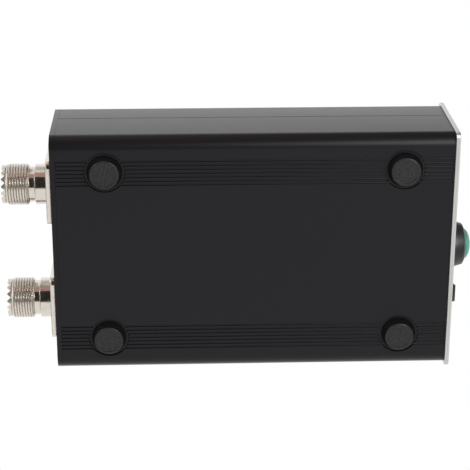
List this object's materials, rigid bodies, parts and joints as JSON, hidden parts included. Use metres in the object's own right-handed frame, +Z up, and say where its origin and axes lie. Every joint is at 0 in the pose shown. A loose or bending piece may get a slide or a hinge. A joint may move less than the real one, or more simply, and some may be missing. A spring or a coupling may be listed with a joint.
{
  "type": "automatic antenna tuner",
  "caption": "Small automatic antenna tuner: two-part grooved metal case on rubber feet, push button, rocker switch and display in front, threaded coaxial sockets behind.",
  "frame": {"origin": "on the standing surface, under the middle of the whole length and width", "axes": "+Z up; -Y is the front, towards the push button; +Y is the rear, along the sockets; +X is right seen from the front"},
  "size_m": [0.096, 0.1834, 0.0455],
  "materials": {
    "black_anodised": "black anodised, fine satin",
    "bare_aluminium": "brushed",
    "black_rubber": "matt",
    "nickel": "nickel plated",
    "black_screw": "black oxide",
    "zinc_steel": "zinc plated",
    "brass_contact": "gold coloured",
    "insulator": "waxy white",
    "black_plastic": "satin",
    "gloss_black": "gloss",
    "green_cap": "satin gloss",
    "clear_window": "clear, smoked",
    "blue_board": "solder mask",
    "green_board": "solder mask",
    "ferrite": "matt",
    "copper_wire": "enamelled copper",
    "amber_capacitor": "dipped",
    "silver_pouch": "foil pouch",
    "foam_tape": "foam",
    "wire_sleeve": "insulated wire"
  },
  "bodies": {
    "case": {"air_coil": "copper_wire", "antenna_lead": "copper_wire", "antenna_socket": "nickel", "antenna_socket_contact": "brass_contact", "antenna_socket_insulator": "insulator", "antenna_socket_screw_1": "zinc_steel", "antenna_socket_screw_2": "zinc_steel", "antenna_socket_screw_3": "zinc_steel", "antenna_socket_screw_4": "zinc_steel", "battery_lead": "wire_sleeve", "battery_pack": "silver_pouch", "battery_tape": "foam_tape", "capacitor_relays": "black_plastic", "capacitors": "amber_capacitor", "charge_socket": "zinc_steel", "charger_board": "green_board", "coupler_core": "ferrite", "display_header": "black_plastic", "display_module": "blue_board", "display_window": "clear_window", "foot_front_left": "black_rubber", "foot_front_right": "black_rubber", "foot_rear_left": "black_rubber", "foot_rear_right": "black_rubber", "front_gasket": "black_rubber", "front_panel": "bare_aluminium", "front_panel_screw_1": "black_screw", "front_panel_screw_2": "black_screw", "front_panel_screw_3": "black_screw", "front_panel_screw_4": "black_screw", "inductor_relays": "black_plastic", "lower_shell": "black_anodised", "main_board": "green_board", "microcontroller": "black_plastic", "power_switch_frame": "black_plastic", "power_switch_lead": "wire_sleeve", "rear_plate": "black_anodised", "rear_plate_screw_1": "black_screw", "rear_plate_screw_2": "black_screw", "rear_plate_screw_3": "black_screw", "rear_plate_screw_4": "black_screw", "toroid_core_1": "ferrite", "toroid_core_2": "ferrite", "toroid_winding_1": "copper_wire", "toroid_winding_2": "copper_wire", "transmitter_lead": "copper_wire", "transmitter_socket": "nickel", "transmitter_socket_contact": "brass_contact", "transmitter_socket_insulator": "insulator", "transmitter_socket_screw_1": "zinc_steel", "transmitter_socket_screw_2": "zinc_steel", "transmitter_socket_screw_3": "zinc_steel", "transmitter_socket_screw_4": "zinc_steel", "tune_button_body": "black_plastic", "tune_button_lead": "wire_sleeve", "tune_button_nut": "zinc_steel", "tune_button_spring": "zinc_steel", "upper_shell": "black_anodised"},
    "tune_button": {"tune_button_cap": "green_cap"},
    "power_rocker": {"power_switch_rocker": "gloss_black"}
  },
  "joints": [
    {"name": "tune_button_press", "type": "slide", "parent": "case", "child": "tune_button", "axis": [0, 1, 0], "range_m": [0, 0.0018], "stiffness_N_per_m": 600, "springref_m": -0.001, "deforming": ["tune_button_spring"]},
    {"name": "power_rocker_tilt", "type": "hinge", "parent": "case", "child": "power_rocker", "pos_m": [0.02386, -0.0831, 0.024], "axis": [1, 0, 0], "range_deg": [0, 20]}
  ]
}
